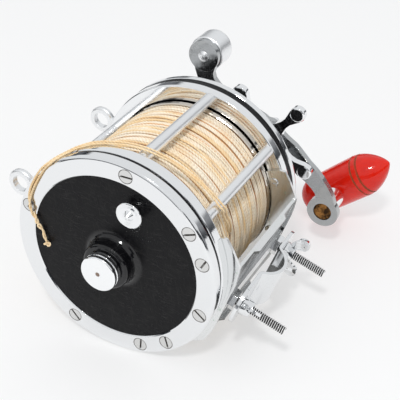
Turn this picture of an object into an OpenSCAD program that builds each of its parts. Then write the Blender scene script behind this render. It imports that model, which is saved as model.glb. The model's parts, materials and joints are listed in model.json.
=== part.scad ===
// Star drag fishing reel for big game: a wide spool in a pillared cage between two round side plates.
// The spool axis is X, with the handle at the +X end. The reel lies on the rims of its rings on Z = 0.
// Every sub-part is drawn in the reel's own frame: the spool axis is y = z = 0, X = 0 is the front
// face of the left ring, and the rod seat (the foot) is at -Y. lay() then rolls it onto the table.
// An angle phi is counted round the spool axis, from the foot at 0 towards +Z.

/* [Cage] */
// Outer diameter of the chrome rings
ring_d = 104.8; // [104:0.2:106]
// Inner diameter of the outer rings, where the side plate shows
ring_window_d = 85.4; // [84:0.2:86]
// Bore of the inner rings
ring_bore_d = 90; // [89.6:0.2:90.4]
// Width of the left outer ring
left_ring_w = 5.2; // [5:0.1:5.4]
// Width of the right outer ring
right_ring_w = 4.2; // [4:0.1:4.4]
// Inner face of the left inner ring
cage_left = 13; // [12.8:0.1:13.2]
// Inner face of the right inner ring
cage_right = 79; // [78.8:0.1:79.2]
// Front face of the right outer ring
right_face = 92.6; // [92.4:0.1:92.8]
// Diameter of the cage pillars
pillar_d = 5.6; // [5:0.2:5.8]
// Distance of the pillars from the spool axis
pillar_r = 49.7; // [49.2:0.1:49.8]
// Distance of the ring screws from the spool axis
screw_r = 47.4; // [47.2:0.1:47.6]
// Diameter of the ring screw heads
screw_head_d = 6.7; // [6:0.1:6.8]

/* [Side plates] */
// Diameter of the turned boss in the middle of each side plate
boss_d = 23.6; // [22:0.2:24]
// How far the left boss stands out of the ring's face
boss_out = 7.2; // [6.8:0.1:7.4]
// Diameter of the bearing caps
cap_d = 18; // [16:0.5:19]
// How far the left cap's face stands out of the ring's face
cap_out = 13; // [12.5:0.1:13.5]

/* [Spool] */
// Inner face of the left spool flange
spool_left = 16.8; // [16.6:0.1:17]
// Inner face of the right spool flange
spool_right = 75.2; // [75:0.1:75.3]
// Diameter of the spool flanges
flange_d = 88.8; // [88.4:0.2:88.8]
// Thickness of the spool flanges
flange_t = 1.8; // [1.6:0.1:1.8]
// How far the rims of the flanges stand outwards
flange_lip = 1.2; // [0.8:0.1:1.2]
// Diameter of the spool's arbor
arbor_d = 28; // [26:1:34]
// Diameter of the wound line
winding_d = 88.4; // [80:0.4:88.4]

/* [Gears and clutch] */
// Module of the gear teeth
gear_module = 0.8; // [0.8]
// Teeth on the main gear
main_teeth = 43; // [43]
// Teeth on the pinion
pinion_teeth = 17; // [17]
// Direction of the handle shaft round the spool axis
handle_phi = 45.6; // [44:0.2:47]
// Travel of the pinion and its yoke into free spool
yoke_travel = 3; // [2:0.5:3]

/* [Drag and handle] */
// Reach of the star drag's arms
star_reach = 32.4; // [30:0.2:32.4]
// Distance from the handle shaft to the grip's spindle
grip_throw = 51.4; // [50:0.2:52]
// Distance from the handle shaft to the counterweight
weight_throw = 53.7; // [52:0.2:54]
// Direction of the handle arm
handle_angle = 206.2; // [200:0.2:210]
// Largest diameter of the torpedo grip
grip_d = 23.8; // [22:0.2:24.4]
// Tilt of the grip on its spindle
grip_tilt = 30; // [0:1:90]

/* [Rod clamp] */
// Distance of each clamp stud from the middle of the cage
stud_offset = 24.6; // [24:0.1:25]
// Major diameter of the clamp studs
stud_d = 4.83; // [4.83]
// Distance of the stud tips from the spool axis
stud_tip = 82.8; // [82:0.2:84]
// Radius of the rod seat inside the clamp strap
seat_r = 10.8; // [10.8:0.1:11]
// Half the width of the clamp strap along the rod
strap_half_w = 11; // [10:0.5:12]

/* [Line] */
// Diameter of the twisted line
line_d = 1.1; // [1:0.05:1.2]

/* [Placement] */
// Roll of the reel on the table, which sets how far its foot points down
foot_tilt = 20.4; // [20.4]
// Distance of the mid-length of the part from the left ring's face
middle_x = 76.05; // [76.05]
// Distance of the spool axis from the middle of the part's depth
middle_y = 10.81; // [10.81]

/* [Hidden] */
$fn = 64;

chrome = "silver";
steel = "darkgray";
bakelite = "#181818";
brass = "#b08d57";
bronze = "#a9713f";
leather = "#7a5230";
grip_red = "#c8141c";
line_beige = "#e6cfa6";
verge = 0.01;                       // how far a cut runs past the face that it opens

ring_r = ring_d / 2;
window_r = ring_window_d / 2;
bore_r = ring_bore_d / 2;
plate_rim_r = ring_r - 0.8;
plate_gap = 0.15;                   // between a side plate's disc and the ring round it
left_rim = cage_left - 6;           // face between the left plate's rim and the inner ring
right_rim = cage_right + 5.6;
cage_mid = (cage_left + cage_right) / 2;
screw_phi = [0, 35, -35, 54, -54, 99.5, -99.5, 180];
slot_turn = [20, 100, 55, 140, 75, 160, 30, 115];
pillar_phi = [54.5, -54.5, 99.5, -99.5, 180];
stand_screw_phi = [0, 35, -35];
shank_r = 1.3;

// Bearings and the spool shaft
shaft_r = 2.75;
thin_r = 1.95;                      // the shaft's right end, which the pinion slides on
running = 0.05;                     // radial clearance of a shaft in its bore
bearing_r = 5.45;

// Handle shaft and gears
pinion_r = gear_module * pinion_teeth / 2;
main_r = gear_module * main_teeth / 2;
shaft_gap = pinion_r + main_r;
handle_y = -shaft_gap * cos(handle_phi);
handle_z = shaft_gap * sin(handle_phi);
stud_pin_r = 3;
sleeve_r = 5;
post_r = 38;
post_phi = [10, 85, 190, 280];
yoke_pin_phi = [175, 275];
yoke_pin_r = 15;
lever_phi = 225;
lever_r = 21;
dog_at = [1.7, 21.35];
click_phi = 88;
click_r = 32.5;
click_travel = 4;

// Handle and grip
arm_near = 120.5;                   // near face of the arm's two ends
arm_t = 3.5;
arm_crank = 3;                      // how much further out the arm's hub is
grip_x = 153;                       // middle of the grip along X
grip_y = handle_y + grip_throw * cos(handle_angle);
grip_z = handle_z + grip_throw * sin(handle_angle);
grip_back = -27;
grip_tip = 32.5;
grip_nose = 14;                     // where the nose begins, along the grip
groove_at = [14, 17.5];

// Rod clamp
plate_d0 = 50.8;                    // inner face of the stand's cross plate, from the spool axis
plate_d1 = 52.4;
bar_t = 1.5;
nut_d0 = plate_d1 + bar_t;
nut_h = 3;
ear_d0 = 58.2;
strap_t = 1.6;
arch_d = 54.6;                      // centre of the clamp's arch, from the spool axis
bend_r = 2;                         // outside radius of the bends between arch and ears
wing_d0 = ear_d0 + strap_t + 0.15;
stud_r = stud_d / 2;
wing_nut_h = 5;

// ---------------------------------------------------------------- placement and simple shapes

module lay()
    translate([-middle_x, middle_y, ring_r]) rotate([foot_tilt, 0, 0]) children();

// a cylinder along X
module rod_x(x0, x1, r)
    translate([x0, 0, 0]) rotate([0, 90, 0]) cylinder(h = x1 - x0, r = r);

module tube_x(x0, x1, r_out, r_in)
    difference() {
        rod_x(x0, x1, r_out);
        rod_x(x0 - 1, x1 + 1, r_in);
    }

// a cone along X
module cone_x(x0, x1, r0, r1)
    translate([x0, 0, 0]) rotate([0, 90, 0]) cylinder(h = x1 - x0, r1 = r0, r2 = r1);

// a solid turned round X from points [radius, x]
module turned(points)
    rotate([0, 90, 0]) rotate_extrude() polygon(points);

// a flat outline in (y, z), as thick as x0 to x1
module plate_x(x0, x1)
    translate([x0, 0, 0]) rotate([90, 0, 90]) linear_extrude(x1 - x0) children();

module at_phi(phi, r)
    translate([0, -r * cos(phi), r * sin(phi)]) children();

module at_handle()
    translate([0, handle_y, handle_z]) children();

// a cylinder from the spool axis towards the foot
module rod_foot(x, d0, d1, r)
    translate([x, -d0, 0]) rotate([90, 0, 0]) cylinder(h = d1 - d0, r = r);

function arc(c, r, a0, a1, n) =
    [for (i = [0:n]) [c[0] + r * cos(a0 + (a1 - a0) * i / n), c[1] + r * sin(a0 + (a1 - a0) * i / n)]];

// the part of the right side that mirrors the left about the right outer ring's face
module from_right_face()
    translate([right_face, 0, 0]) mirror([1, 0, 0]) children();

// ---------------------------------------------------------------- swept round wire

function cross3(a, b) =
    [a[1] * b[2] - a[2] * b[1], a[2] * b[0] - a[0] * b[2], a[0] * b[1] - a[1] * b[0]];
function unit(v) = v / norm(v);

// points of a smooth curve through p, k to each span
function spline_point(a, b, c, d, t) =
    0.5 * (2 * b + (c - a) * t + (2 * a - 5 * b + 4 * c - d) * t * t
        + (3 * b - a - 3 * c + d) * t * t * t);
function smooth(p, k) =
    let (n = len(p) - 1)
    [for (i = [0:n - 1]) for (j = [0:k - 1])
        spline_point(p[max(i - 1, 0)], p[i], p[i + 1], p[min(i + 2, n)], j / k), p[n]];

function tangent(p, i) = unit(p[min(i + 1, len(p) - 1)] - p[max(i - 1, 0)]);
// the ring's side direction, carried along the path without twist
function sides(p, i, s) =
    i == len(p) ? [] : let (t = tangent(p, i), v = unit(s - (s * t) * t)) concat([v], sides(p, i + 1, v));

module wire(p, r, n) {
    side = sides(p, 0, unit(cross3(tangent(p, 0), [0.31, 0.52, 0.79])));
    rings = [for (i = [0:len(p) - 1]) let (t = tangent(p, i), u = side[i], w = cross3(t, u))
        for (k = [0:n - 1]) p[i] + r * (cos(360 * k / n) * u + sin(360 * k / n) * w)];
    last = (len(p) - 1) * n;
    walls = [for (i = [0:len(p) - 2]) for (k = [0:n - 1]) let (m = (k + 1) % n)
        each [[i * n + k, (i + 1) * n + m, i * n + m], [i * n + k, (i + 1) * n + k, (i + 1) * n + m]]];
    ends = [[for (k = [0:n - 1]) k], [for (k = [n - 1:-1:0]) last + k]];
    polyhedron(rings, concat(walls, ends));
}

// a coil along X
function coil(x0, x1, r, turns, steps) =
    [for (i = [0:turns * steps])
        [x0 + (x1 - x0) * i / (turns * steps), r * cos(360 * i / steps), r * sin(360 * i / steps)]];

// ---------------------------------------------------------------- side rings and plates

// outer ring with its face at x = 0, facing -X
module outer_ring(w) {
    round_r = 1.8;
    difference() {
        turned(concat([[window_r, w], [ring_r - 0.3, w], [ring_r, w - 0.3]],
            arc([ring_r - round_r, round_r], round_r, 0, -90, 6),
            [[window_r + 0.5, 0], [window_r, 0.5]]));
        for (phi = screw_phi) at_phi(phi, screw_r) {
            rod_x(-1, w + 1, shank_r + 0.1);
            cone_x(-verge, 2.1, screw_head_d / 2 + 0.08, shank_r + 0.1);
        }
    }
}

// slotted flat-head screw with its head's face at x = 0.05, facing -X
module ring_screw(length, turn)
    difference() {
        union() {
            cone_x(0.05, 2.05, screw_head_d / 2, shank_r);
            rod_x(2, length, shank_r);
        }
        rotate([turn, 0, 0]) translate([0, 0, 0.3]) cube([1.7, 2 * screw_head_d, 0.9], center = true);
    }

module inner_ring(x0, x1) {
    edge = 0.8;
    turned(concat([[bore_r, x0], [ring_r - edge, x0]],
        arc([ring_r - edge, x0 + edge], edge, -90, 0, 4),
        arc([ring_r - edge, x1 - edge], edge, 0, 90, 4), [[bore_r, x1]]));
}

module left_outer_ring()
    color(chrome) outer_ring(left_ring_w);

module right_outer_ring()
    color(chrome) from_right_face() outer_ring(right_ring_w);

module left_inner_ring()
    color(chrome) difference() {
        inner_ring(left_rim, cage_left);
        for (phi = screw_phi) at_phi(phi, screw_r) rod_x(left_rim - 1, left_rim + 3, shank_r + 0.02);
        for (phi = pillar_phi) at_phi(phi, pillar_r) rod_x(cage_left - 2.7, cage_left + 1, 1.3);
        for (phi = stand_screw_phi) at_phi(phi, screw_r) rod_x(cage_left - 2.6, cage_left + 1, 1.25);
    }

module right_inner_ring()
    color(chrome) difference() {
        inner_ring(cage_right, right_rim);
        for (phi = screw_phi) at_phi(phi, screw_r) rod_x(right_rim - 2.7, right_rim + 1, shank_r + 0.02);
        for (phi = pillar_phi) at_phi(phi, pillar_r) rod_x(cage_right - 1, cage_right + 2.6, 1.3);
        for (phi = stand_screw_phi) at_phi(phi, screw_r) rod_x(cage_right - 1, cage_right + 2.6, 1.25);
    }

// boss with a hollow foot, from points outwards along -X
function boss_profile(top) = concat([[0, 3], [boss_d / 2 + 3.2, 3], [boss_d / 2 + 3.2, 0.7]],
    arc([boss_d / 2 + 3.2, -2.5], 3.2, 90, 180, 6),
    arc([boss_d / 2 - 1.6, -top + 1.6], 1.6, 0, -90, 4), [[0, -top]]);

module left_side_plate()
    color(bakelite) difference() {
        union() {
            rod_x(0.7, left_rim, window_r - plate_gap);
            rod_x(left_ring_w, left_rim, plate_rim_r);
            turned(boss_profile(boss_out));
        }
        rod_x(4.2, left_rim + 1, 40);
        rod_x(-boss_out - 1, 4.3, bearing_r + 0.05);
        for (phi = screw_phi) at_phi(phi, screw_r) rod_x(left_ring_w - 1, left_rim + 1, shank_r + 0.1);
        for (r = [click_r, click_r - click_travel]) at_phi(click_phi, r) rod_x(0, 5, 2.15);
        rotate([-click_phi, 0, 0]) translate([0, -click_r, -2.05]) cube([5, click_travel, 4.1]);
    }

module right_side_plate() {
    face = right_face - 0.6;
    wall = face - 3.8;
    hump_r = 18.3;
    hump_top = face + 8.6;
    boss_top = right_face + 10.4;
    color(bakelite) difference() {
        union() {
            rod_x(right_rim, face, window_r - plate_gap);
            rod_x(right_rim, right_face - right_ring_w, plate_rim_r);
            from_right_face() turned(boss_profile(boss_top - right_face));
            at_handle() turned(concat([[0, face - 2], [hump_r, face - 2]],
                arc([hump_r - 2, hump_top - 2], 2, 0, 90, 5), [[0, hump_top]]));
        }
        difference() {
            rod_x(right_rim - 1, wall, 43.4);
            for (phi = post_phi) at_phi(phi, post_r) rod_x(right_rim - 2, wall + 1, 3);
        }
        at_handle() rod_x(right_rim, hump_top - 3, 15.2);
        at_handle() rod_x(right_rim, hump_top + 1, 7.8);
        rod_x(right_rim, 95.6, 8.3);
        rod_x(right_rim, boss_top + 1, bearing_r + 0.05);
        for (phi = screw_phi) at_phi(phi, screw_r) rod_x(right_rim - 1, right_face, shank_r + 0.1);
        for (phi = yoke_pin_phi) at_phi(phi, yoke_pin_r) rod_x(wall - 1, 91.2, 2.6);
        at_phi(lever_phi, lever_r) rod_x(wall - 1, right_face, 2.55);
        for (phi = post_phi) at_phi(phi, post_r) rod_x(right_rim - 2, wall - 2, 1.25);
    }
    // the posts' free ends, which carry the bridge
    color(bakelite) for (phi = post_phi) at_phi(phi, post_r)
        tube_x(cage_right, right_rim, 3, 1.25);
}

module left_ring_screws()
    color(chrome) for (i = [0:len(screw_phi) - 1])
        at_phi(screw_phi[i], screw_r) ring_screw(left_rim + 2.8, slot_turn[i]);

module right_ring_screws()
    color(chrome) for (i = [0:len(screw_phi) - 1])
        at_phi(screw_phi[i], screw_r) from_right_face() ring_screw(right_face - right_rim + 2.5, slot_turn[i]);

// ---------------------------------------------------------------- cage

module pillars()
    color(chrome) for (phi = pillar_phi) at_phi(phi, pillar_r) {
        rod_x(cage_left - 2.6, cage_right + 2.5, 1.25);
        rod_x(cage_left, cage_right, pillar_d / 2);
    }

module harness_lug(x) {
    lug_r = 7;
    hole_r = 4.2;
    half_t = 1.6;
    round_r = 1.2;
    difference() {
        translate([x, 58.8, 0]) {
            turned(concat([[hole_r, -half_t]],
                arc([lug_r - round_r, -half_t + round_r], round_r, -90, 0, 4),
                arc([lug_r - round_r, half_t - round_r], round_r, 0, 90, 4), [[hole_r, half_t]]));
            translate([-half_t, -7.2, -4.5]) cube([2 * half_t, 2.6, 9]);
        }
        rod_x(x - 5, x + 5, ring_r + 0.02);
    }
}

module left_harness_lug()
    color(chrome) harness_lug(cage_left - 3);

module right_harness_lug()
    color(chrome) harness_lug(cage_right + 2.8);

// the stand's side wings: outline in (y, z)
module wing_outline()
    difference() {
        polygon([[-38.6, -35], [-41.5, -35.9], [-46.2, -31.8], [-52.4, -25.4], [-54, -16],
            [-54, 16], [-52.4, 25.4], [-46.2, 31.8], [-41.5, 35.9], [-38.6, 35], [-30, 28], [-30, -28]]);
        circle(r = 44.6);
    }

module reel_stand() {
    half_w = 25;
    lip_rise = 1.9;
    color(chrome) difference() {
        union() {
            plate_x(cage_left, cage_left + 1.5) wing_outline();
            plate_x(cage_right - 1.5, cage_right) wing_outline();
            translate([cage_left + 1, -plate_d1, -half_w])
                cube([cage_right - cage_left - 2, plate_d1 - plate_d0, 2 * half_w]);
            // folded lips along the two ends of the cross plate
            for (z = [-half_w, half_w - 1.7]) translate([cage_mid, -plate_d1, z]) linear_extrude(1.7)
                polygon([[-18, 0.5], [-15, -lip_rise], [15, -lip_rise], [18, 0.5]]);
        }
        for (s = [-1, 1]) rod_foot(cage_mid + s * stud_offset, 40, 60, stud_r + 0.03);
        for (phi = stand_screw_phi) at_phi(phi, screw_r) rod_x(cage_left - 1, cage_right + 1, 1.3);
    }
}

module stand_screws()
    color(chrome) for (phi = stand_screw_phi) at_phi(phi, screw_r) {
        rod_x(cage_left - 2.5, cage_left + 1.5, 1.2);
        turned([[0, cage_left + 1.5], [2.4, cage_left + 1.5], [2.1, cage_left + 2.2], [0, cage_left + 2.5]]);
        rod_x(cage_right - 1.5, cage_right + 2.5, 1.2);
        turned([[0, cage_right - 1.5], [2.4, cage_right - 1.5], [2.1, cage_right - 2.2], [0, cage_right - 2.5]]);
    }

// ---------------------------------------------------------------- rod clamp

module saddle_bar()
    color(chrome) difference() {
        translate([cage_mid - stud_offset - 5.5, -plate_d1 - bar_t, -5])
            cube([2 * stud_offset + 11, bar_t - verge, 10]);
        for (s = [-1, 1]) rod_foot(cage_mid + s * stud_offset, 40, 60, stud_r + 0.03);
    }

module clamp_studs()
    color(steel) for (s = [-1, 1]) {
        rod_foot(cage_mid + s * stud_offset, plate_d0 - 1.4, stud_tip, stud_r);
        rod_foot(cage_mid + s * stud_offset, plate_d0 - 1.4, plate_d0 - verge, 4.2);
    }

module stud_nuts()
    color(chrome) for (s = [-1, 1]) difference() {
        translate([cage_mid + s * stud_offset, -nut_d0 - verge, 0]) rotate([90, 0, 0])
            cylinder(h = nut_h, r = 5.2, $fn = 6);
        rod_foot(cage_mid + s * stud_offset, 40, 60, stud_r + 0.03);
    }

module wedge(a0, a1, r)
    polygon(concat([[0, 0]], [for (i = [0:6]) let (a = a0 + (a1 - a0) * i / 6) r * [cos(a), sin(a)]]));

// half of the strap's section in (x, y) from the middle outwards: arch, bend and ear
module strap_half() {
    out_r = seat_r + strap_t;
    bend_d = ear_d0 + strap_t + bend_r;
    reach = out_r + bend_r;
    open_a = acos((bend_d - arch_d) / reach);
    bend_x = reach * sin(open_a);
    ear_end = stud_offset + 9.5;
    lap = 0.3;                      // the three stretches run this many degrees into each other
    // arch
    intersection() {
        translate([0, -arch_d]) difference() {
            circle(r = out_r);
            circle(r = seat_r);
        }
        translate([0, -arch_d]) wedge(-91, -90 + open_a + lap, 3 * out_r);
    }
    // bend
    intersection() {
        translate([bend_x, -bend_d]) difference() {
            circle(r = bend_r + strap_t);
            circle(r = bend_r);
        }
        translate([bend_x, -bend_d]) wedge(90 - lap, 90 + open_a + lap, 3 * out_r);
    }
    translate([bend_x - 0.05, -ear_d0 - strap_t]) square([ear_end - bend_x, strap_t]);
}

module rod_clamp_strap()
    color(chrome) difference() {
        translate([cage_mid, 0, -strap_half_w]) linear_extrude(2 * strap_half_w, $fn = 96) {
            strap_half();
            mirror([1, 0]) strap_half();
        }
        for (s = [-1, 1]) translate([cage_mid + s * stud_offset, 0, 0]) {
            rod_foot(0, 40, 70, stud_r + 0.25);
            // rounded ears
            difference() {
                translate([s * 1, -70, -20]) mirror([s < 0 ? 1 : 0, 0, 0]) cube([20, 20, 40]);
                translate([-s * 1.5, -40, 0]) rotate([90, 0, 0]) cylinder(h = 40, r = 11);
            }
        }
    }

module wing_nut(s, turn) {
    hub_r = 4.1;
    wing_t = 1.5;
    difference() {
        translate([cage_mid + s * stud_offset, -wing_d0, 0]) rotate([90, 0, 0]) rotate([0, 0, turn]) {
            cylinder(h = wing_nut_h, r1 = hub_r + 0.7, r2 = hub_r - 0.3);
            for (k = [-1, 1]) translate([-wing_t / 2, 0, 0]) rotate([90, 0, 90]) linear_extrude(wing_t)
                scale([k, 1]) wing_shape();
        }
        rod_foot(cage_mid + s * stud_offset, 40, 90, stud_r + running);
    }
}

// one wing: outline in (along the rod, along the stud)
module wing_shape() {
    polygon([[3, 0.6], [6.5, 1.8], [9.5, 3.6], [12, 8.6], [6.5, 9.6], [4.6, 4.8], [3, 4.6]]);
    translate([9.3, 7.2]) circle(r = 3.3);
}

module left_wing_nut()
    color(chrome) wing_nut(-1, 46);

module right_wing_nut()
    color(chrome) wing_nut(1, 0);

// ---------------------------------------------------------------- spool

module spool_flange(x_inner, x_outer, hub_end) {
    r = flange_d / 2;
    out = sign(x_outer - x_inner);
    edge = 0.5;
    rim = x_outer + out * flange_lip;
    difference() {
        union() {
            turned([[0, x_inner], [r - edge, x_inner], [r, x_inner + out * edge], [r, rim - out * edge],
                [r - edge, rim], [r - 1.4, rim], [r - 1.8, x_outer], [0, x_outer]]);
            rod_x(min(x_outer, hub_end), max(x_outer, hub_end), 9);
        }
        rod_x(0, 100, 3.02);
    }
}

module left_spool_flange()
    color(chrome) spool_flange(spool_left, spool_left - flange_t, 11.7);

module right_spool_flange()
    color(chrome) spool_flange(spool_right, spool_right + flange_t, spool_right + flange_t);

module spool_arbor()
    color(brass) tube_x(spool_left, spool_right, arbor_d / 2, arbor_d / 2 - 2);

module line_winding()
    color(line_beige) tube_x(spool_left + verge, spool_right - verge, winding_d / 2, arbor_d / 2 + verge);

module spool_shaft()
    color(steel) difference() {
        union() {
            rod_x(-5.2, 9.4, shaft_r);
            rod_x(9.4, 78.6, 3);
            rod_x(78.5, 82.2, shaft_r);
            rod_x(82.2, 101, thin_r);
        }
        for (s = [-1, 1]) translate([79.4, s > 0 ? 2 : -12, -5]) cube([2.8, 10, 10]);
    }

module ratchet_outline(teeth, r_out, depth)
    polygon([for (i = [0:teeth - 1]) each [
        r_out * [cos(360 * i / teeth), sin(360 * i / teeth)],
        (r_out - depth) * [cos(360 * (i + 0.5) / teeth), sin(360 * (i + 0.5) / teeth)]]]);

module click_ratchet()
    color(steel) difference() {
        plate_x(9.5, 11.5) ratchet_outline(20, 12, 2.2);
        rod_x(0, 20, 3.02);
    }

// ---------------------------------------------------------------- bearings and caps

module left_bearing()
    color(bronze) tube_x(-5.4, 2.4, bearing_r, shaft_r + running);

module right_bearing()
    color(bronze) tube_x(95.8, 101.2, bearing_r, thin_r + running);

// cap with its face at x = 0, facing -X, screwed into a boss whose top is at x = depth
module bearing_cap(depth) {
    r = cap_d / 2;
    groove = 0.35;
    turned(concat([[0, 0.35], [0.7, 0.3], [1.1, 0]],
        arc([r - 0.7, 0.7], 0.7, -90, 0, 4),
        [[r, 1.9], [r - groove, 2.1], [r - groove, 2.5], [r, 2.7], [r, depth - 0.8],
        [r - 0.6, depth - 0.2], [bearing_r - 0.02, depth - 0.2], [bearing_r - 0.02, depth + 1.3],
        [0, depth + 1.3]]));
}

module left_bearing_cap()
    color(chrome) translate([-cap_out, 0, 0]) bearing_cap(cap_out - boss_out);

module right_bearing_cap()
    color(chrome) translate([right_face + 15.8, 0, 0]) mirror([1, 0, 0]) bearing_cap(5.4);

// ---------------------------------------------------------------- click

module click_button()
    color(chrome) at_phi(click_phi, click_r) {
        // dished head with a conical nub
        turned(concat([[0, -6.6], [0.9, -6.3], [2.5, -4.3], [3.6, -4.1], [5.2, -4.6]],
            arc([5.9, -4.2], 0.5, -90, 60, 4), [[5.2, -2.6], [3.4, -2.3], [3.2, 0.3], [0, 0.3]]));
        rod_x(0, 9.5, 1.95);
    }

module click_tongue()
    color(steel) rotate([-click_phi, 0, 0]) difference() {
        plate_x(9.6, 11.4) polygon([[-click_r - 3.4, -3], [-click_r - 3.4, 3], [-click_r + 3, 3],
            [-20, 1.6], [-16.9, 0.8], [-16.3, 0], [-16.9, -0.8], [-20, -1.6], [-click_r + 3, -3]]);
        translate([0, -click_r, 0]) rod_x(9, 12, 1);
    }

module click_spring()
    color(steel) rotate([-click_phi, 0, 0]) wire(smooth([for (s = [-4:4])
        [8, -click_r + 8 - 0.06 * s * s * 4, 3.1 * s]], 2), 0.5, 8);

// ---------------------------------------------------------------- bridge, gears and clutch

module bridge_plate() {
    x0 = 77.4;
    x1 = cage_right;
    color(brass) difference() {
        plate_x(x0, x1) {
            polygon([for (phi = post_phi) [-post_r * cos(phi), post_r * sin(phi)]]);
            for (phi = post_phi) translate([-post_r * cos(phi), post_r * sin(phi)]) circle(r = 4.2);
        }
        rod_x(x0 - 1, x1 + 1, 4);
        at_handle() rod_x(x0 - 1, x1 + 1, stud_pin_r + 0.02);
        for (phi = post_phi) at_phi(phi, post_r) {
            rod_x(x0 - 1, x1 + 1, 1.3);
            cone_x(x0 - verge, x0 + 1.3, 2.6, 1.3);
        }
    }
    // guide pins of the yoke
    color(steel) for (phi = yoke_pin_phi) at_phi(phi, yoke_pin_r) rod_x(x1 - verge, 87.9, 1.2);
    // pivot of the dog
    color(steel) translate([0, dog_at[0], dog_at[1]]) rod_x(x1 - verge, 82.6, 1.5);
}

module bridge_screws()
    color(steel) for (phi = post_phi) at_phi(phi, post_r) {
        cone_x(77.45, 78.65, 2.4, 1.2);
        rod_x(78.6, 84, 1.2);
    }

module gear_stud()
    color(steel) at_handle() {
        rod_x(77.4, 101, stud_pin_r);
        rod_x(cage_right + verge, cage_right + 1, 5);
    }

module gear_sleeve()
    color(brass) at_handle() tube_x(80.3, 130.2, sleeve_r, stud_pin_r + running);

// involute gear outline, first tooth along +u
module gear_outline(teeth) {
    pitch_r = gear_module * teeth / 2;
    base_r = pitch_r * cos(20);
    tip_r = pitch_r + gear_module;
    root_r = pitch_r - 1.25 * gear_module;
    play = 0.05 / pitch_r * 180 / PI;
    inv20 = (tan(20) - 20 * PI / 180) * 180 / PI;
    steps = 4;
    radii = [for (i = [0:steps]) max(base_r, root_r) + (tip_r - max(base_r, root_r)) * i / steps];
    half = [for (r = radii) let (a = acos(min(1, base_r / r)))
        90 / teeth - play + inv20 - (tan(a) * 180 / PI - a)];
    polygon([for (t = [0:teeth - 1]) let (c = 360 * t / teeth) each concat(
        [root_r * [cos(c - half[0]), sin(c - half[0])]],
        [for (i = [0:steps]) radii[i] * [cos(c - half[i]), sin(c - half[i])]],
        [for (i = [steps:-1:0]) radii[i] * [cos(c + half[i]), sin(c + half[i])]],
        [root_r * [cos(c + half[0]), sin(c + half[0])]])]);
}

module main_gear()
    color(brass) at_handle() difference() {
        plate_x(82.9, 87.9) rotate(-handle_phi) gear_outline(main_teeth);
        rod_x(84.2, 89, 14.6);
        rod_x(80, 90, sleeve_r + 0.05);
    }

module pinion()
    color(brass) difference() {
        union() {
            rod_x(79.6, 80.4, 5.8);
            rod_x(80.3, 82.3, 5);
            plate_x(82.2, 91) rotate(180 - handle_phi + 180 / pinion_teeth) gear_outline(pinion_teeth);
        }
        intersection() {
            rod_x(79, 82.2, shaft_r + running);
            translate([70, -2 - running, -10]) cube([20, 2 * (2 + running), 20]);
        }
        rod_x(82.1, 92, thin_r + running);
    }

// fork that holds the pinion's groove, open towards the main gear
module clutch_yoke()
    color(steel) difference() {
        plate_x(80.55, 81.95) rotate(180 - lever_phi)
            polygon([[-0.5, -9.2], [4, -14.9], [13.5, -15.2], [15.5, -8], [12.5, 0], [15.5, 8],
                [13.5, 15.2], [4, 14.9], [-0.5, 9.2]]);
        rod_x(80, 83, 5.1);
        for (phi = yoke_pin_phi) at_phi(phi, yoke_pin_r) rod_x(80, 83, 1.25);
    }

module yoke_springs()
    color(steel) for (phi = yoke_pin_phi) at_phi(phi, yoke_pin_r)
        wire(coil(82.3, 87.5, 1.85, 4, 14), 0.3, 6);

module freespool_lever()
    color(chrome) at_phi(lever_phi, lever_r) {
        rod_x(80.3, 93.1, 2.5);
        rod_x(93, 96.2, 5);
        plate_x(93, 95.4) {
            polygon([[0, -4], [16, -2.4], [16, 2.4], [0, 4]]);
            translate([16, 0]) circle(r = 3.6);
        }
        translate([0, 16, 0]) turned(concat([[0, 95.3], [3.4, 95.3]], arc([2.6, 97.6], 0.8, 0, 90, 3), [[0, 98.4]]));
    }

module clutch_cam()
    color(steel) at_phi(lever_phi, lever_r) difference() {
        plate_x(79.3, 80.3) {
            circle(r = 5);
            translate([-2.4, 2.4]) circle(r = 4.6);
        }
        rod_x(79, 81, 0.8);
    }

module anti_reverse_ratchet()
    color(steel) at_handle() difference() {
        plate_x(80.4, 82.2) ratchet_outline(10, 10.5, 1.8);
        rod_x(80, 83, sleeve_r + 0.02);
    }

module anti_reverse_dog()
    color(steel) translate([0, dog_at[0], dog_at[1]]) difference() {
        plate_x(80.5, 82.1) {
            circle(r = 3.2);
            rotate(152) polygon([[0, -1.5], [11, -1.5], [14.6, 0.6], [14.6, 1.5], [0, 1.5]]);
        }
        rod_x(80, 83, 1.55);
    }

module dog_spring()
    color(steel) translate([0, dog_at[0], dog_at[1]]) wire(coil(79.4, 80.1, 2.4, 1, 16), 0.25, 6);

module leather_drag_washers()
    color(leather) at_handle() {
        tube_x(82.3, 82.8, 9.5, sleeve_r + 0.05);
        for (x = [84.3, 86.4, 88.5]) tube_x(x, x + 1.1, 14.2, sleeve_r + 0.05);
    }

module metal_drag_washers()
    color(steel) at_handle() {
        for (x = [85.5, 87.6]) tube_x(x, x + 0.8, 14.3, sleeve_r + 0.05);
        tube_x(89.7, 91.2, 14.3, sleeve_r + 0.05);
        turned([[5.1, 91.3], [11, 92], [11, 92.4], [5.1, 91.7]]);
    }

module spacing_sleeve()
    color(steel) at_handle() tube_x(92.5, 103.2, 7.3, sleeve_r + 0.05);

// ---------------------------------------------------------------- star drag and handle

function turn2(p, a) = [p[0] * cos(a) - p[1] * sin(a), p[0] * sin(a) + p[1] * cos(a)];

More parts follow.
